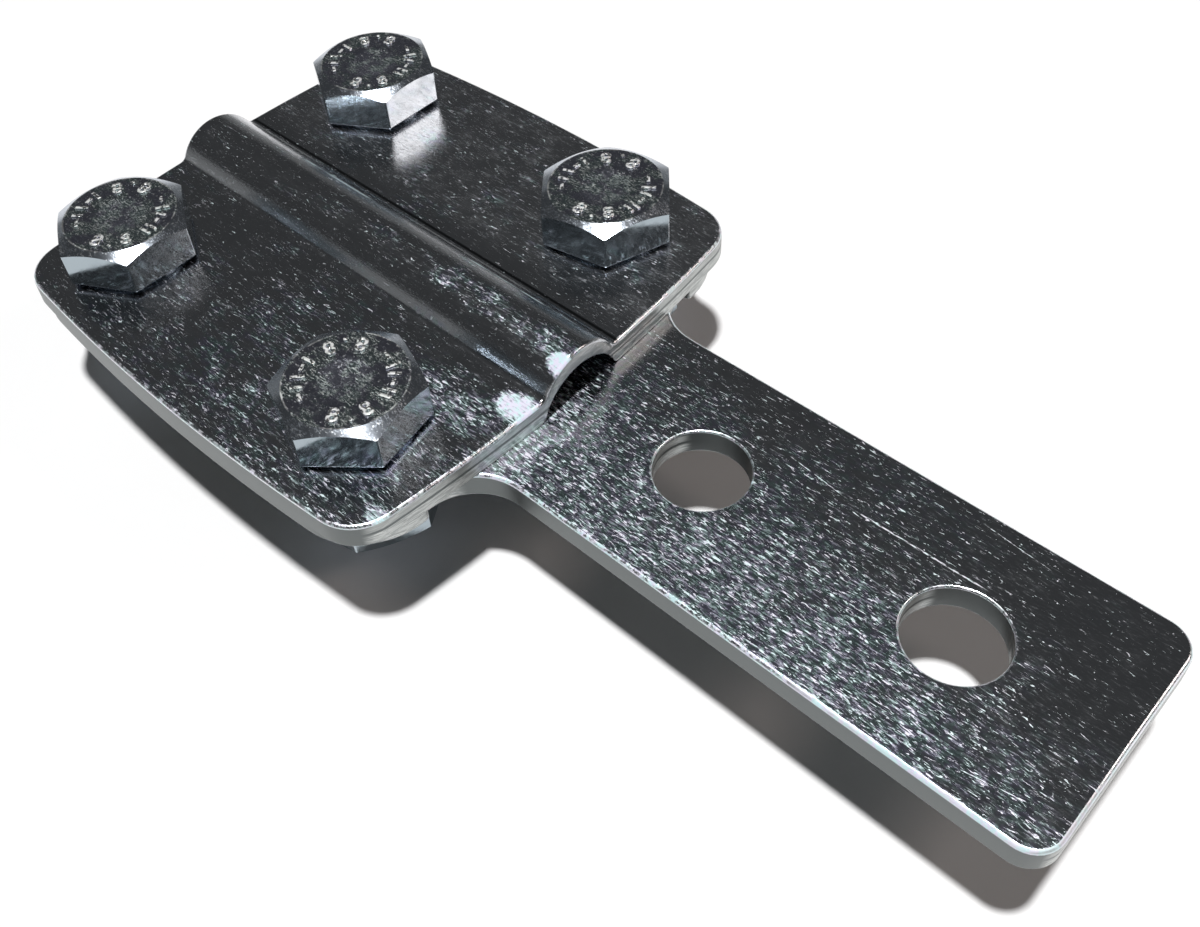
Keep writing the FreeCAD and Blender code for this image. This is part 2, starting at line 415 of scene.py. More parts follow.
bolt = {
    "flats": 13.0,
    "headHeight": 5.3,
    "washerFace": 0.45,
    "washerWidth": 11.8,
    "washerBevel": (0.08, 0.06),  # at its top and at its foot
    "sunk": 0.1,              # how far the shank's top reaches into the head
    "topCircle": 11.9,
    "bevel": 30,
    "dish": 6.4,
    "dishDepth": 0.2,
    "edge": 0.16,
    "lowerEdge": 0.28,
    "length": 16.0,
    "thread": 7.9,
    "root": 6.7,
    "pitch": 1.25,
    "point": 0.9,
    "pointSlope": 0.7,        # how far the point narrows, as a share of its length
    "threadStart": 0.6,       # share of the point that the thread leaves bare
    "threadLoss": 0.6,        # turns left off under the head
    "threadSunk": 0.02,
    "threadSteps": 36,
    "threadForm": (0.4, 0.55, 0.95),  # crest from, crest to and root, as shares of the pitch
    "turns": (29.3, 29.5, 10.7, 39.6),
    "markHeight": 0.16,
    "markBevel": 0.06,
    "markRing": 4.45,
    "letterHeight": 2.3,
    "letterStep": 20,
    "letterAngles": (-75, 100),
    "tickWidth": 0.34,
    "tickBevel": 0.08,        # share of the tick's own size
    "ticks": (  # angle, length and slant of each
        (-28, 1.3, 8), (-18, 1.4, 0), (-5, 0.8, 90), (8, 1.3, -10), (22, 1.5, 5),
        (40, 0.9, 80), (150, 1.4, 0), (163, 0.8, 95), (178, 1.4, 12), (195, 1.2, -5),
        (212, 0.9, 85),
    ),
}


def hexBlank(name, flats, low, high):
    clearSelection()
    bpy.ops.mesh.primitive_cylinder_add(
        vertices=6, radius=flats / 2 / math.cos(math.pi / 6) * mm, depth=(high - low) * mm,
        location=(0, 0, (low + high) / 2 * mm), rotation=(0, 0, math.radians(30)),
    )
    obj = bpy.context.object
    obj.name = name
    bpy.ops.object.transform_apply(location=True, rotation=True, scale=False)
    return obj


def bevelFall(flats, circle, degrees):
    reach = flats / 2 / math.cos(math.pi / 6) + spare
    return reach, (reach - circle / 2) * math.tan(math.radians(degrees))


def uprightEdge(edge, middle, normals):
    return abs(normals[0].z) + abs(normals[1].z) < 0.1


def lowestEdge(edge, middle, normals):
    return normals[0].z < -0.9


def joinTo(obj, others):
    makeActive(obj)
    for other in others:
        other.select_set(True)
    bpy.ops.object.join()


def buildHead(size):
    low, top = size["washerFace"], size["headHeight"] - size["markHeight"]
    head = hexBlank("bolt_model", size["flats"], low, top + spare / 2)
    roundEdges(head, uprightEdge, size["edge"], segments=2)
    roundEdges(head, lowestEdge, size["lowerEdge"], segments=3)
    reach, fall = bevelFall(size["flats"], size["topCircle"], size["bevel"])
    dishRadius = arcRadius(size["dish"], size["dishDepth"])
    moves = [
        ((size["dish"] / 2, top), (0, top - size["dishDepth"] + dishRadius)),
        ((size["topCircle"] / 2, top), None),
        ((reach, top - fall), None),
        ((reach, low - spare), None),
        ((0, low - spare), None),
    ]
    turned = drawOutline("turned", (0, top - size["dishDepth"]), moves, onSide, (0, -1, 0))
    turnOnLathe(turned, steps=96)
    combine(head, turned, "INTERSECT")
    return head


def buildShank(size):
    washer, root, end = size["washerWidth"] / 2, size["root"] / 2, -size["length"]
    face, sunk, (upper, lower) = size["washerFace"], size["sunk"], size["washerBevel"]
    moves = [
        ((washer - upper, face + sunk), None),
        ((washer, face - sunk), None),
        ((washer, lower), None),
        ((washer - lower, 0), None),
        ((root, 0), None),
        ((root, end + size["point"]), None),
        ((root - size["point"] * size["pointSlope"], end), None),
        ((0, end), None),
    ]
    shank = drawOutline("shank", (0, face + sunk), moves, onSide, (0, -1, 0))
    turnOnLathe(shank, steps=64)
    return shank


def buildThread(size):
    pitch, crest = size["pitch"], size["thread"] / 2
    root = size["root"] / 2 - size["threadSunk"]
    turns = int((size["length"] - size["point"]) / pitch - size["threadLoss"])
    low = -size["length"] + size["point"] * size["threadStart"]
    crestLow, crestHigh, rootHigh = (pitch * share for share in size["threadForm"])
    moves = [
        ((crest, crestLow), None),
        ((crest, crestHigh), None),
        ((root, rootHigh), None),
        ((root, 0), None),
    ]
    coil = drawOutline("thread", (root, 0), moves, onSide, (0, -1, 0))
    bpy.ops.mesh.select_all(action="SELECT")
    bpy.ops.transform.translate(value=(0, 0, low * mm))
    bpy.ops.object.mode_set(mode="OBJECT")
    makeActive(coil)
    screw = coil.modifiers.new("screw", "SCREW")
    screw.screw_offset = pitch * mm
    screw.iterations = turns
    screw.steps = screw.render_steps = size["threadSteps"]
    bpy.ops.object.modifier_apply(modifier=screw.name)
    bpy.ops.object.mode_set(mode="EDIT")
    bpy.ops.mesh.select_all(action="SELECT")
    bpy.ops.mesh.remove_doubles(threshold=weld)
    bpy.ops.mesh.select_all(action="DESELECT")
    bpy.ops.mesh.select_non_manifold()
    bpy.ops.mesh.fill_holes(sides=0)
    bpy.ops.mesh.select_all(action="SELECT")
    bpy.ops.mesh.normals_make_consistent(inside=False)
    bpy.ops.object.mode_set(mode="OBJECT")
    return coil


def placeMark(mark, angle, paintedRing, level, turn=0.0):
    mark.data.transform(
        Matrix.Rotation(angle, 4, "Z") @ Matrix.Translation((paintedRing * mm, 0, level * mm))
        @ Matrix.Rotation(turn, 4, "Z"))
    return mark


def buildMarks(size):
    # raised strength mark, twice, and plain ticks between, up to the top of the CAD head
    level = size["headHeight"] - size["markHeight"]
    marks = []
    for middle in size["letterAngles"]:
        for index, letter in enumerate("8.8"):
            clearSelection()
            bpy.ops.object.text_add(location=(0, 0, 0))
            mark = bpy.context.object
            mark.data.body = letter
            mark.data.size = size["letterHeight"] * mm
            mark.data.extrude = (size["markHeight"] - size["markBevel"]) * mm
            mark.data.bevel_depth = size["markBevel"] * mm
            mark.data.bevel_resolution = 2
            mark.data.align_x = "CENTER"
            mark.data.align_y = "CENTER"
            bpy.ops.object.convert(target="MESH")
            bpy.ops.object.mode_set(mode="EDIT")  # the caps come unjoined from the sides
            bpy.ops.mesh.select_all(action="SELECT")
            bpy.ops.mesh.remove_doubles(threshold=weld / 2)
            bpy.ops.object.mode_set(mode="OBJECT")
            angle = math.radians(middle + (index - 1) * size["letterStep"])
            marks.append(placeMark(bpy.context.object, angle, size["markRing"], level, math.pi / 2))
    for angle, length, slant in size["ticks"]:
        clearSelection()
        bpy.ops.mesh.primitive_cube_add(size=1)
        tick = bpy.context.object
        roundEdges(tick, lambda edge, middle, normals: normals[1].z > 0.5,
                   size["tickBevel"] / mm, segments=2)
        tick.data.transform(Matrix.Diagonal(
            (length * mm, size["tickWidth"] * mm, 2 * size["markHeight"] * mm, 1)))
        marks.append(placeMark(tick, math.radians(angle), size["markRing"], level,
                               math.radians(slant)))
    return marks


def buildBolts():
    model = buildHead(bolt)
    joinTo(model, [buildShank(bolt), buildThread(bolt)] + buildMarks(bolt))
    smoothPiece(model, degrees=30)
    bolts = []
    for number, (x, y) in enumerate(boltPlaces):
        turn = Matrix.Rotation(math.radians(bolt["turns"][number]), 4, "Z")
        place = Matrix.Translation((x * mm, y * mm, clampPlate["sheet"] * mm))
        piece = copyTo(model, "m8_bolt_" + str(number + 1), place @ turn)
        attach(piece, "bolt_" + str(number + 1))
        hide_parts("hex_bolt_" + str(number + 1))
        bolts.append(piece)
    bpy.data.objects.remove(model, do_unlink=True)
    print("bolts:", len(bolts[0].data.polygons), "faces each")
    return bolts


# Hexagon nuts

nut = {
    "flats": 13.0,
    "height": 6.5,
    "circle": 11.9,
    "bevel": 30,
    "bore": 8.0,
    "countersink": 0.35,
    "edge": 0.16,
    "turns": (12.0, 47.0, 31.0, 5.0),
}


def buildNuts():
    size = nut
    model = hexBlank("nut_model", size["flats"], -size["height"], 0)
    roundEdges(model, uprightEdge, size["edge"], segments=2)
    reach, fall = bevelFall(size["flats"], size["circle"], size["bevel"])
    bore, mouth, low = size["bore"] / 2, size["bore"] / 2 + size["countersink"], -size["height"]
    moves = [
        ((size["circle"] / 2, 0), None),
        ((reach, -fall), None),
        ((reach, low + fall), None),
        ((size["circle"] / 2, low), None),
        ((mouth, low), None),
        ((bore, low + size["countersink"]), None),
        ((bore, -size["countersink"]), None),
        ((mouth, 0), None),
    ]
    turned = drawOutline("turned", (mouth, 0), moves, onSide, (0, -1, 0))
    turnOnLathe(turned, steps=96)
    combine(model, turned, "INTERSECT")
    smoothPiece(model, degrees=30)
    nuts = []
    for number, (x, y) in enumerate(boltPlaces):
        turn = Matrix.Rotation(math.radians(size["turns"][number]), 4, "Z")
        place = Matrix.Translation((x * mm, y * mm, -basePlate["sheet"] * mm))
        piece = copyTo(model, "m8_nut_" + str(number + 1), place @ turn)
        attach(piece, "base")
        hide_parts("hex_nut_" + str(number + 1))
        nuts.append(piece)
    bpy.data.objects.remove(model, do_unlink=True)
    print("nuts:", len(nuts[0].data.polygons), "faces each")
    return nuts


# Shader helpers

class Wire:
    # a socket that takes part in plain arithmetic
    def __init__(self, bench, socket):
        self.bench = bench
        self.socket = socket

    def maths(self, operation, first, second=None):
        inputs = {0: first} if second is None else {0: first, 1: second}
        return self.bench.add("ShaderNodeMath", {"operation": operation}, inputs)

    def __add__(self, other):
        return self.maths("ADD", self, other)

    def __radd__(self, other):
        return self.maths("ADD", other, self)

    def __sub__(self, other):
        return self.maths("SUBTRACT", self, other)

    def __rsub__(self, other):
        return self.maths("SUBTRACT", other, self)

    def __mul__(self, other):
        return self.maths("MULTIPLY", self, other)

    def __rmul__(self, other):
        return self.maths("MULTIPLY", other, self)

    def __truediv__(self, other):
        return self.maths("DIVIDE", self, other)

    def __pow__(self, other):
        return self.maths("POWER", self, other)

    def __abs__(self):
        return self.maths("ABSOLUTE", self)


class Bench:
    # one material's nodes
    def __init__(self, name):
        self.material = bpy.data.materials.new(name)
        self.material.use_nodes = True
        self.nodes = self.material.node_tree.nodes
        self.links = self.material.node_tree.links
        self.nodes.clear()

    def add(self, kind, settings=None, inputs=None, output=0):
        node = self.nodes.new(kind)
        for name, value in (settings or {}).items():
            setattr(node, name, value)
        for key, value in (inputs or {}).items():
            if isinstance(value, Wire):
                self.links.new(value.socket, node.inputs[key])
            else:
                node.inputs[key].default_value = value
        return Wire(self, node.outputs[output]) if node.outputs else None

    def coordinates(self):
        return self.add("ShaderNodeTexCoord", output="Object")

    def scaled(self, vector, scale, turn=0.0, shift=(0, 0, 0)):
        return self.add("ShaderNodeMapping", {}, {
            "Vector": vector, "Scale": scale, "Rotation": (0, 0, math.radians(turn)),
            "Location": shift})

    def noise(self, vector, scale, detail=2.0, roughness=0.5, distortion=0.0):
        return self.add("ShaderNodeTexNoise", {}, {
            "Vector": vector, "Scale": scale, "Detail": detail, "Roughness": roughness,
            "Distortion": distortion}, "Fac")

    def ease(self, value, low, high, outLow=0.0, outHigh=1.0):
        return self.add("ShaderNodeMapRange", {"interpolation_type": "SMOOTHSTEP"}, {
            "Value": value, "From Min": low, "From Max": high,
            "To Min": outLow, "To Max": outHigh})

    def blend(self, factor, first, second):
        return self.add("ShaderNodeMix", {"data_type": "RGBA"}, {
            "Factor": factor, 6: first, 7: second}, 2)

    def limited(self, value, low, high):
        return self.add("ShaderNodeClamp", {}, {"Value": value, "Min": low, "Max": high})

    def larger(self, first, second):
        return first.maths("MAXIMUM", first, second)

    def mixValue(self, factor, first, second):
        return self.add("ShaderNodeMix", {"data_type": "FLOAT"}, {
            "Factor": factor, 2: first, 3: second})

    def split(self, vector, axis):
        return self.add("ShaderNodeSeparateXYZ", {}, {"Vector": vector}, axis)

    def bump(self, height):  # height in mm
        return self.add("ShaderNodeBump", {}, {
            "Strength": 1.0, "Distance": 0.001, "Height": height})

    def finish(self, **sockets):
        shader = self.add("ShaderNodeBsdfPrincipled", {}, {
            name.replace("_", " "): value for name, value in sockets.items()})
        self.add("ShaderNodeOutputMaterial", {}, {"Surface": shader})
        return self.material


# Zinc finishes

zinc = {
    "colour": (0.53, 0.59, 0.67, 1),
    "violet": (0.51, 0.49, 0.68, 1),
    "green": (0.42, 0.63, 0.60, 1),
    "warm": (0.57, 0.57, 0.58, 1),
    "brightViolet": (0.94, 0.93, 1.0, 1),
    "brightTeal": (0.86, 0.98, 1.0, 1),
    "tintShare": 0.75,
    "scratchNoise": (1.6, 2.0),
    "scratchEdge": (0.35, 0.6),
    "scratchFade": 1.5,       # mm over which a scratch fades at its ends
    "scratchCore": 0.3,       # share of its width that is full
    "scratchShine": 1.4,
    "glintPatchEdge": (1.0, 0.1),
    "fleckBright": 0.45,      # how far the soft flecks take the bright tint, and below how far the rolled rim takes it as a painted highlight
    "paintedRimHighlight": 0.8,
    "brightRange": (0.1, 1.0, 0.0, 0.9),
    "hueNoise": (1.3, 3.0, 0.6),  # scale, detail and roughness, here and below
    "hueEdge": (0.43, 0.57),
    "warmNoise": (0.16, 2.0),
    "warmEdge": (0.6, 1.5),
    "polish": 0.12,           # roughness of the clear mirror
    "frost": 0.03,            # what dense flecks add to it
    "haze": 0.04,             # what the haze adds
    "hazeNoise": (0.35, 4.0, 0.6),
    "hazeEdge": (0.4, 0.75),
    "spark": 0.42,            # what the sharp flecks add
    "fleckTurn": -10,
    "fleckGrain": (1.05, 4.9, 3.0),  # soft flecks per mm, along, across and upright
    "fleckNoise": (1.0, 4.0, 0.68, 0.5),
    "fleckStart": (0.505, 0.128),  # level where soft flecks start, and how density lowers it
    "fleckSpan": 0.25,
    "fleckPower": 1.6,
    "sparkTurn": -18,
    "sparkGrain": (1.15, 5.3, 3.0),  # sharp flecks
    "sparkNoise": (1.0, 3.0, 0.6, 1.0),
    "sparkStart": (0.665, 0.092),
    "sparkSpan": 0.04,
    "patchNoise": (0.24, 3.0, 0.6),
    "driftGrain": (0.30, 1.3, 1.0),
    "driftNoise": (1.0, 3.0, 0.6),
    "thickest": 1.15,
    "waves": 0.06,            # heights of the bumps, in mm
    "grit": 0.018,
    "wavesNoise": (0.14, 1.5),
    "rim": 0.05,              # roughness of the rolled rim, and what its torn parts add
    "rimShine": 0.30,
    "rimNoise": (1.7, 3.0, 0.6),
    "rimEdge": (0.45, 0.62),
}

cutEdge = {
    "colour": (0.145, 0.158, 0.158, 1),  # long sheared sides and hole walls, darkened as painted shade
    "bright": (0.60, 0.62, 0.61, 1),  # short ends, kept lighter than the long sides by the way they face: painted light
    "under": (0.13, 0.14, 0.145, 1),  # painted shade: faces underneath darkened so the floor shadow below stays dark
    "roughness": 0.36,
    "sheared": 0.15,
    "lineGrain": (0.6, 0.6, 6.0),
    "lineNoise": (1.0, 3.0, 0.65, 0.6),
    "lineEdge": (0.44, 0.62),
    "lineShare": (0.35, 0.9),  # how much of the lines shows, and more where torn
    "endShare": 0.45,
    "tornEdges": ((0.50, 0.38), (0.04, 0.12)),  # levels, as shares of the thickness
    "bandEdges": ((0.95, 0.6), (0.45, 0.1)),
    "grooveLevel": 0.53,
    "grooveEdge": (0.07, 0.03),
    "lines": 0.03,            # heights, in mm
    "bands": 0.16,
}

channelLook = {
    "halfWidth": (5.7, 5.2),  # where the channel's skin ends, outside and inside
    "satin": 0.14,            # roughness of the channel
    "streaks": 0.12,
    "streakGrain": (0.08, 2.2, 2.2),
    "streakNoise": (1.0, 3.0, 0.6),
    "streakHeight": 0.010,
    "creaseShade": (0.05, 0.055, 0.06, 1),  # painted shade: dark line along the fold at the channel's far foot
    "creaseY": 5.4,
    "creaseEdge": (0.26, 0.08),
    "creaseShare": 0.92,
    # painted reflection: colour of the thin lines along the channel's far flank
    "reflectionTint": (0.72, 0.84, 0.86, 1),
    "tealLines": [((-14.0, 2.70), (-1.5, 2.80), 0.26), ((12.0, 2.95), (28.5, 2.95), 0.18)],
    "tealNoise": (0.5, 3.0),
    "tealEdge": (0.35, 0.55, 0.3, 1.0),
    # what the painted reflection lines add to the roughness
    "reflectionLines": 0.45,
    "farHalf": (6.0, 9.0),    # the far half of the plate is a little duller
    "farDull": (0.07, 0.04),
}

baseLook = {
    "name": "base_plate_zinc",
    "bottom": -basePlate["sheet"],
    "channel": False,
    "drift": 1.3,             # how uneven the flecks lie
    "soft": 0.22,             # what the soft flecks add to the roughness
    "scratches": [            # start, end and width of each
        ((57.6, 5.0), (71.0, 5.2), 0.11), ((66.5, 10.9), (74.0, 10.2), 0.05),
        ((76.5, -9.9), (83.0, -8.6), 0.05), ((49.5, 6.4), (57.0, 5.6), 0.06),
    ],
    "glintPatches": [((31, -6), (3.0, 8), 0.45)],  # painted highlights: centre, reach and strength of each patch where flecks crowd
    "skew": 0.12,             # how the dense side leans across the tail
    "acrossFall": (-8.0, 13.0),
    "acrossLoss": 0.72,
    "endFall": (62.0, 87.0),
    "endLoss": 0.45,
    "nearRim": (0.0, -8.0),   # the near rim is brighter, and smooth towards the tail's end
    "nearShine": 0.34,
    "smoothRim": (58.0, 74.0),
    "smoothShare": 0.9,
    "endRim": (0.2, 0.6),
    "endShine": 0.55,
}

clampLook = {
    "name": "clamp_plate_zinc",
    "bottom": 0.0,
    "channel": True,
    "drift": 1.9,
    "soft": 0.27,
    "scratches": [((1.2, 9.5), (3.4, 11.2), 0.04)],
    # painted highlights at the channel's end, beside it and at the near corner
    "glintPatches": [
        ((29.1, -7.0), (3.2, 2.1), 2.5), ((30.1, -2.1), (2.0, 1.3), 3.6),
        ((24.0, -10.0), (8.0, 4.5), 0.4), ((28.6, -23.8), (2.2, 1.3), 1.0),
    ],
    "nearFoot": (-5.4, -7.6),
    "nearHalf": (-6.0, -16.0),
    "rightward": (-20.0, 26.0),
    "leftShare": 0.20,
    "rightGain": 0.36,
    "crownShift": 0.9,
    "crownEdge": (2.4, 0.7),
    "crownAlong": (-14.0, 20.0),
    "crownShare": 0.65,
    "farHalf": (6.0, 10.0),
    "farShare": 0.1,
}

facing = {  # how a face has to point, as the share of its normal
    "flat": (0.93, 0.985),
    "side": (0.42, 0.12),
    "under": (-0.5, -0.9),
    "end": (0.75, 0.95),
    "upper": (0.5, 0.9),
    "slope": (0.3, 0.6),
    "cone": (0.6, 0.75),
    "facet": (0.4, 0.1),
}


def surface(bench):
    # place in mm, its three coordinates, and the normal
    place = bench.scaled(bench.coordinates(), (1000, 1000, 1000))
    normal = bench.add("ShaderNodeTexCoord", output="Normal")
    return place, [bench.split(place, axis) for axis in range(3)], normal


def scratchMark(bench, x, y, line):
    start, end, width = Vector(line[0]), Vector(line[1]), line[2]
    length = (end - start).length
    unit = (end - start) / length
    along = (x - start.x) * unit.x + (y - start.y) * unit.y
    across = abs((y - start.y) * unit.x - (x - start.x) * unit.y)
    fade = zinc["scratchFade"]
    ends = bench.ease(along, 0.0, fade) * bench.ease(along, length, length - fade)
    return bench.ease(across, width, width * zinc["scratchCore"]) * ends


def glintPatchMark(bench, x, y, centre, reach):
    # soft oval patch of painted highlight, 1 at its middle and 0 past its reach
    offX, offY = (x - centre[0]) / reach[0], (y - centre[1]) / reach[1]
    return bench.ease(offX * offX + offY * offY, *zinc["glintPatchEdge"])


def tailDensity(bench, x, y):
    look = baseLook
    lean = y + (x - basePlate["tailHoles"][0]) * look["skew"]
    across, end = bench.ease(lean, *look["acrossFall"]), bench.ease(x, *look["endFall"])
    return 1.0 - across * look["acrossLoss"] - end * look["endLoss"]


def clampDensity(bench, x, y):
    look = clampLook
    near = bench.ease(y, *look["nearFoot"]) * 0.5 + bench.ease(y, *look["nearHalf"]) * 0.5
    right = bench.ease(x, *look["rightward"])
    # crowded flecks along the crown's near side, where the lamp's highlight runs: the zinc's own
    # flecks and in part a painted highlight
    crown = bench.ease(abs(y + look["crownShift"]), *look["crownEdge"])
    crown = crown * bench.ease(x, *look["crownAlong"])
    return (near * (look["leftShare"] + right * look["rightGain"])
            + crown * look["crownShare"] + bench.ease(y, *look["farHalf"]) * look["farShare"])


def fleckLayers(bench, look, density, place, x, y):
    # how dense the flecks lie, the soft flecks, the sharp ones and the noise under them
    grain = bench.scaled(place, zinc["fleckGrain"], zinc["fleckTurn"])
    fine = bench.noise(grain, *zinc["fleckNoise"])
    sharp = bench.noise(bench.scaled(place, zinc["sparkGrain"], zinc["sparkTurn"]),
                        *zinc["sparkNoise"])
    patchy = bench.noise(place, *zinc["patchNoise"])
    drift = bench.noise(bench.scaled(place, zinc["driftGrain"], zinc["fleckTurn"]),
                        *zinc["driftNoise"])
    uneven = look["drift"]
    thick = density(bench, x, y) + (patchy - 0.5) * (uneven - 0.3) + (drift - 0.5) * uneven
    thick = bench.limited(thick, 0.0, zinc["thickest"])
    # painted highlights: crowding flecks in these patches brightens the colour and roughens the
    # zinc
    for centre, reach, strength in look["glintPatches"]:
        thick = thick + glintPatchMark(bench, x, y, centre, reach) * strength * (patchy + 0.5)
    begin, lower = zinc["fleckStart"]
    flecks = bench.limited((fine - (begin - thick * lower)) / zinc["fleckSpan"], 0.0, 1.0)
    begin, lower = zinc["sparkStart"]
    sparks = bench.limited((sharp - begin + thick * lower) / zinc["sparkSpan"], 0.0, 1.0)
    return thick, flecks ** zinc["fleckPower"], sparks, fine, grain


def zincTints(bench, place, thick):
    # tint of the clear parts and of the bright flecks
    hue = bench.ease(bench.noise(place, *zinc["hueNoise"]), *zinc["hueEdge"])
    tint = bench.blend(hue, zinc["violet"], zinc["green"])
    warm = bench.ease(thick + bench.noise(place, *zinc["warmNoise"]), *zinc["warmEdge"])
    tint = bench.blend(warm, zinc["warm"], tint)
    return (bench.blend(zinc["tintShare"], zinc["colour"], tint),
            bench.blend(hue, zinc["brightViolet"], zinc["brightTeal"]))


def plateZinc(look, density):
    bench = Bench(look["name"])
    place, (x, y, z), normal = surface(bench)
    upward = bench.split(normal, 2)
    flat = bench.ease(abs(upward), *facing["flat"])
    side = bench.ease(abs(upward), *facing["side"])
    under = bench.ease(upward, *facing["under"])
    end = side * bench.ease(abs(bench.split(normal, 0)), *facing["end"])
    ridge = bench.ease(abs(y), *channelLook["halfWidth"]) if look["channel"] else 0.0
    rim = (1 - flat) * (1 - side) * (1 - ridge)

    thick, flecks, sparks, fine, grain = fleckLayers(bench, look, density, place, x, y)
    for line in look["scratches"]:
        broken = bench.ease(bench.noise(grain, *zinc["scratchNoise"]), *zinc["scratchEdge"])
        mark = scratchMark(bench, x, y, line) * broken * flat * zinc["scratchShine"]
        sparks = bench.larger(sparks, mark)
    colour, bright = zincTints(bench, place, thick)
    light = bench.larger(flecks * zinc["fleckBright"], sparks)
    # painted highlight: the rolled rims take the bright tint
    light = bench.larger(light, rim * zinc["paintedRimHighlight"])
    colour = bench.blend(bench.ease(light, *zinc["brightRange"]), colour, bright)
    # painted shade: downward faces take a dark colour
    colour = bench.blend(under, colour, cutEdge["under"])
    if look["channel"]:
        # painted shade along the fold at the channel's far foot
        creaseShade = bench.ease(abs(y - channelLook["creaseY"]), *channelLook["creaseEdge"])
        creaseShade = creaseShade * bench.ease(upward, *facing["upper"]) * channelLook["creaseShare"]
        colour = bench.blend(creaseShade, colour, channelLook["creaseShade"])
        # painted reflections: thin teal-white lines along the channel
        lines = [scratchMark(bench, x, y, line) for line in channelLook["tealLines"]]
        reflectionLines = bench.larger(*lines) * bench.ease(upward, *facing["slope"])
        broken = bench.noise(place, *channelLook["tealNoise"])
        reflectionLines = reflectionLines * bench.ease(broken, *channelLook["tealEdge"])
        colour = bench.blend(reflectionLines, colour, channelLook["reflectionTint"])

    # the shear leaves level lines across the short cut ends, torn towards the foot
    level = (z - look["bottom"]) / basePlate["sheet"]
    lines = bench.noise(bench.scaled(place, cutEdge["lineGrain"]), *cutEdge["lineNoise"])
    tornTop, tornFoot = (bench.ease(level, *edge) for edge in cutEdge["tornEdges"])
    groove = bench.ease(abs(level - cutEdge["grooveLevel"]), *cutEdge["grooveEdge"])
    upperBand, lowerBand = (bench.ease(level, *edge) for edge in cutEdge["bandEdges"])
    least, more = cutEdge["lineShare"]
    sheared = bench.ease(lines, *cutEdge["lineEdge"]) * (least + tornTop * tornFoot * more)
    sheared = bench.limited(sheared, 0.0, 1.0) * end
    # ends are lighter than the long sides and hole walls by which way they face: painted light and
    # shade; the shear lines on them are the metal's own
    bare = sheared + end * cutEdge["endShare"] - groove * end
    cut = bench.blend(bench.limited(bare, 0.0, 1.0), cutEdge["colour"], cutEdge["bright"])
    colour = bench.blend(side, colour, cut)

    haze = bench.ease(bench.noise(place, *zinc["hazeNoise"]), *zinc["hazeEdge"])
    roughness = zinc["polish"] + zinc["haze"] * haze + zinc["frost"] * thick
    if look["channel"]:
        streaks = bench.noise(bench.scaled(place, channelLook["streakGrain"]),
                              *channelLook["streakNoise"])
        dull, dullHaze = channelLook["farDull"]
        farSide = bench.ease(y, *channelLook["farHalf"]) * (1 - ridge) * (dull + dullHaze * haze)
        roughness = roughness + farSide + reflectionLines * channelLook["reflectionLines"]
        satin = channelLook["satin"] - zinc["polish"] + channelLook["streaks"] * (streaks - 0.5)
        roughness = roughness + ridge * satin
    jagged = bench.ease(bench.noise(place, *zinc["rimNoise"]), *zinc["rimEdge"])
    rimShine = zinc["rimShine"]
    if not look["channel"]:
        nearRim = bench.ease(y, *look["nearRim"])
        smooth = bench.ease(x, *look["smoothRim"]) * nearRim * look["smoothShare"]
        jagged = bench.larger(jagged, smooth)
        dimEnd = bench.ease(bench.split(normal, 0), *look["endRim"], 1, look["endShine"])
        rimShine = (rimShine + look["nearShine"] * nearRim) * dimEnd
    roughness = roughness + rim * (zinc["rim"] + rimShine * jagged)
    roughness = roughness + (look["soft"] * flecks + zinc["spark"] * sparks) * (1 - side)
    onCut = cutEdge["roughness"] + cutEdge["sheared"] * sheared
    roughness = bench.mixValue(side, roughness, onCut)

    height = bench.noise(place, *zinc["wavesNoise"]) * zinc["waves"]
    height = height + fine * zinc["grit"] * (1 - side)
    height = height + (lines * cutEdge["lines"]
                       - (upperBand + lowerBand) * cutEdge["bands"]) * end
    if look["channel"]:
        height = height + streaks * ridge * channelLook["streakHeight"]
    return bench.finish(Base_Color=colour, Metallic=1.0, Roughness=roughness,
                        Normal=bench.bump(height))


fastenerLook = {
    "colour": (0.56, 0.61, 0.68, 1),
    # upright facets are darker than the top: painted shade
    "facet": (0.38, 0.44, 0.48, 1),
    # bright colour of the strokes and specks, and of the painted highlights on the marks and ring
    "bright": (0.95, 0.95, 0.92, 1),
    "polish": 0.075,
    "mark": 0.50,             # roughness of the raised marks
    "markLevel": (7.94, 7.98),  # marks stand above this height, in mm
    "dish": (3.2, 2.1),       # radii where the mottled middle ends and is full
    "paintedRing": (5.72, 5.84),     # radii where the painted highlight round the top face's rim starts and is full
    "fineNoise": (3.2, 3.0, 0.65),
    "strokeGrain": (1.6, 4.6, 3.0),
    "strokeTurn": -20,
    "strokeNoise": (1.0, 4.0, 0.68, 1.4),
    "cloudNoise": (0.55, 3.0, 0.6),
    "dullNoise": (1.1, 4.0, 0.7),
    "dullEdge": (0.42, 0.62),
    "ringNoise": (0.8, 2.0),
    "ringEdge": (0.40, 0.60, 0.1, 1.0),
    "strokeStart": 0.40,
    "strokeSpan": 0.24,
    "strokePower": 1.8,
    "strokeClouds": (0.36, 0.58, 0.15, 1.0),
    "speckEdge": (0.56, 0.72),
    "speckOnCone": 0.6,
    "hueEdge": (0.44, 0.56),
    "tintShare": 0.5,
    "brightShare": 0.8,
    "rough": {"top": 0.02, "dish": 0.09, "stroke": 0.30, "speck": 0.25, "paintedRing": 0.20},
    "facetRough": (0.03, 0.07),  # where plain, and more where the noise or strokes add
    "coneRough": (0.10, 0.18),
    "glintNoise": (2.6, 2.0),
    "glintEdge": (0.42, 0.56, -0.30, 0.12),
    "swellNoise": (0.3, 1.0),
    "heights": {"fine": 0.010, "swell": 0.02, "stroke": 0.03},  # in mm
}


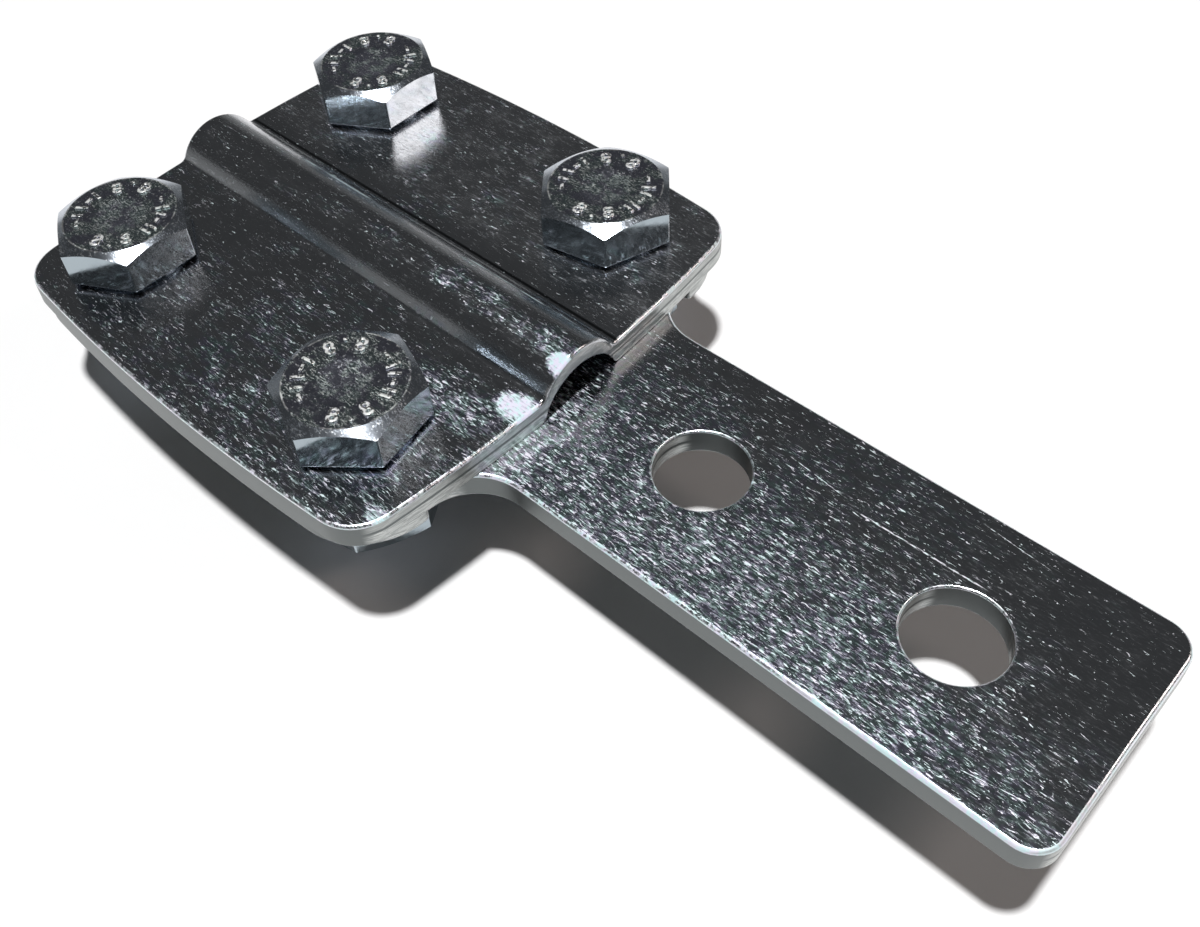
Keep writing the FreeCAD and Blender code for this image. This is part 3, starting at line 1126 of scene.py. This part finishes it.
def fastenerZinc():
    look = fastenerLook
    bench = Bench("fastener_zinc_bright")
    place, (x, y, z), normal = surface(bench)
    upward = bench.split(normal, 2)
    top = bench.ease(upward, *facing["flat"])
    cone = bench.ease(upward, *facing["cone"]) * (1 - top)
    facet = bench.ease(abs(upward), *facing["facet"])
    halfX, halfY = (pitch / 2 for pitch in basePlate["boltPitch"])
    offX, offY = abs(x) - halfX, abs(y) - halfY
    fromAxis = (offX * offX + offY * offY) ** 0.5
    dish = bench.ease(fromAxis, *look["dish"]) * top
    # painted highlight: a light ring round the top face's rim
    paintedRing = bench.ease(fromAxis, *look["paintedRing"]) * top
    paintedRing = paintedRing * bench.ease(bench.noise(place, *look["ringNoise"]), *look["ringEdge"])
    # raised marks, which take the bright colour as a painted highlight
    mark = bench.ease(z, *look["markLevel"])

    fine = bench.noise(place, *look["fineNoise"])
    strokes = bench.noise(bench.scaled(place, look["strokeGrain"], look["strokeTurn"]),
                          *look["strokeNoise"])
    clouds = bench.noise(place, *look["cloudNoise"])
    stroke = bench.limited((strokes - look["strokeStart"]) / look["strokeSpan"], 0.0, 1.0)
    stroke = stroke ** look["strokePower"] * bench.ease(clouds, *look["strokeClouds"])
    speck = bench.ease(fine, *look["speckEdge"]) * (top + cone * look["speckOnCone"])
    light = bench.larger(bench.larger(stroke * top, speck), bench.larger(mark, paintedRing))
    tint = bench.blend(bench.ease(clouds, *look["hueEdge"]), zinc["violet"], zinc["green"])
    colour = bench.blend(top * look["tintShare"], look["colour"], tint)
    # painted shade on the upright facets
    colour = bench.blend(facet, colour, look["facet"])
    colour = bench.blend(light * look["brightShare"], colour, look["bright"])

    rough = look["rough"]
    roughness = look["polish"] + top * rough["top"] + dish * rough["dish"]
    roughness = roughness + rough["stroke"] * stroke * top
    dull = bench.ease(bench.noise(place, *look["dullNoise"]), *look["dullEdge"])
    plain, more = look["facetRough"]
    roughness = roughness + (plain + more * dull) * facet
    plain, more = look["coneRough"]
    roughness = roughness + rough["speck"] * speck + cone * (plain + more * stroke)
    roughness = roughness + paintedRing * rough["paintedRing"]
    glint = bench.ease(bench.noise(place, *look["glintNoise"]), *look["glintEdge"])
    roughness = bench.mixValue(mark, roughness, look["mark"] + glint)
    heights = look["heights"]
    swell = bench.noise(place, *look["swellNoise"])
    height = fine * heights["fine"] * top + swell * heights["swell"]
    height = height + strokes * top * heights["stroke"]
    return bench.finish(Base_Color=colour, Metallic=1.0, Roughness=roughness,
                        Normal=bench.bump(height))


# Studio

studio = {
    "floorLevel": -13.25,
    "floorRadius": 1.6,
    "floorShift": 0.02,
    "floorSides": 96,
    "wallHeight": 0.5,
    "floorColour": (0.9, 0.9, 0.9, 1),
    "wallColour": (0.32, 0.33, 0.33, 1),
    "worldColour": (0.95, 0.98, 1.0, 1),
    "worldStrength": 0.05,
    "lights": {  # power, size, distance, direction and colour
        "key": (24.0, 0.11, 1.5, (0.9, -1.0, 10.5), (1.0, 1.0, 1.0)),
        "side_panel": (3.3, 0.50, 1.5, (0.633, 0.512, 0.581), (1.0, 0.85, 0.78)),
    },
    "azimuth": 48.021,
    "pitch": 46.850,
    "roll": 5.953,
    "focal": 1310.607,
    "principal": (540.0, 373.0),
    "eye": (90.26, -58.96, 92.80),
    "image": (1200, 927),
    "sensor": 36.0,
    "clipStart": 0.005,
}


def buildStudio():
    size = studio
    level = size["floorLevel"] * mm
    clearSelection()
    bpy.ops.mesh.primitive_circle_add(
        vertices=size["floorSides"], radius=size["floorRadius"], fill_type="NGON",
        location=(size["floorShift"], 0, level),
    )
    floor = bpy.context.object
    floor.name = "floor"
    clearSelection()
    bpy.ops.mesh.primitive_cylinder_add(
        vertices=size["floorSides"], radius=size["floorRadius"], depth=size["wallHeight"],
        end_fill_type="NOTHING",
        location=(size["floorShift"], 0, level + size["wallHeight"] / 2),
    )
    wall = bpy.context.object
    wall.name = "wall"
    bpy.ops.object.mode_set(mode="EDIT")
    bpy.ops.mesh.select_all(action="SELECT")
    bpy.ops.mesh.flip_normals()
    bpy.ops.object.mode_set(mode="OBJECT")
    for backdrop in (floor, wall):
        paint = Bench("pale_" + backdrop.name).finish(
            Base_Color=size[backdrop.name + "Colour"], Roughness=0.9)
        backdrop.data.materials.append(paint)

    world = bpy.data.worlds.new("studio")
    world.use_nodes = True
    background = world.node_tree.nodes["Background"]
    background.inputs["Color"].default_value = size["worldColour"]
    background.inputs["Strength"].default_value = size["worldStrength"]
    bpy.context.scene.world = world

    for name, (power, width, distance, direction, colour) in size["lights"].items():
        direction = Vector(direction).normalized()
        bpy.ops.object.light_add(type="AREA", location=direction * distance)
        light = bpy.context.object
        light.name = name
        light.data.shape = "DISK"
        light.data.size = width
        light.data.energy = power
        light.data.color = colour
        light.rotation_euler = direction.to_track_quat("Z", "Y").to_euler()


def buildCamera():
    size = studio
    azimuth, pitch, roll = (math.radians(size[key]) for key in ("azimuth", "pitch", "roll"))
    look = Vector((-math.sin(azimuth) * math.cos(pitch), math.cos(azimuth) * math.cos(pitch),
                   -math.sin(pitch)))
    level = Vector((math.cos(azimuth), math.sin(azimuth), 0))
    down = look.cross(level)
    right = math.cos(roll) * level + math.sin(roll) * down
    down = -math.sin(roll) * level + math.cos(roll) * down
    data = bpy.data.cameras.new("camera")
    camera = bpy.data.objects.new("camera", data)
    bpy.context.collection.objects.link(camera)
    matrix = Matrix((right, -down, -look)).transposed().to_4x4()
    matrix.translation = Vector(size["eye"]) * mm
    camera.matrix_world = matrix
    wide, high = size["image"]
    data.sensor_width = size["sensor"]
    data.lens = size["sensor"] * size["focal"] / wide
    data.shift_x = (wide / 2 - size["principal"][0]) / wide
    data.shift_y = (size["principal"][1] - high / 2) / wide
    data.clip_start = size["clipStart"]
    bpy.context.scene.camera = camera


# Put together

plates = [buildBasePlate(), buildClampPlate()]
fasteners = buildBolts() + buildNuts()
fastenerFinish = fastenerZinc()
finishes = [plateZinc(baseLook, tailDensity), plateZinc(clampLook, clampDensity)]
finishes = finishes + [fastenerFinish] * len(fasteners)
for piece, finish in zip(plates + fasteners, finishes):
    piece.data.materials.clear()
    piece.data.materials.append(finish)
print("finishes are on")

buildStudio()
buildCamera()
bpy.context.scene.view_settings.view_transform = "Standard"
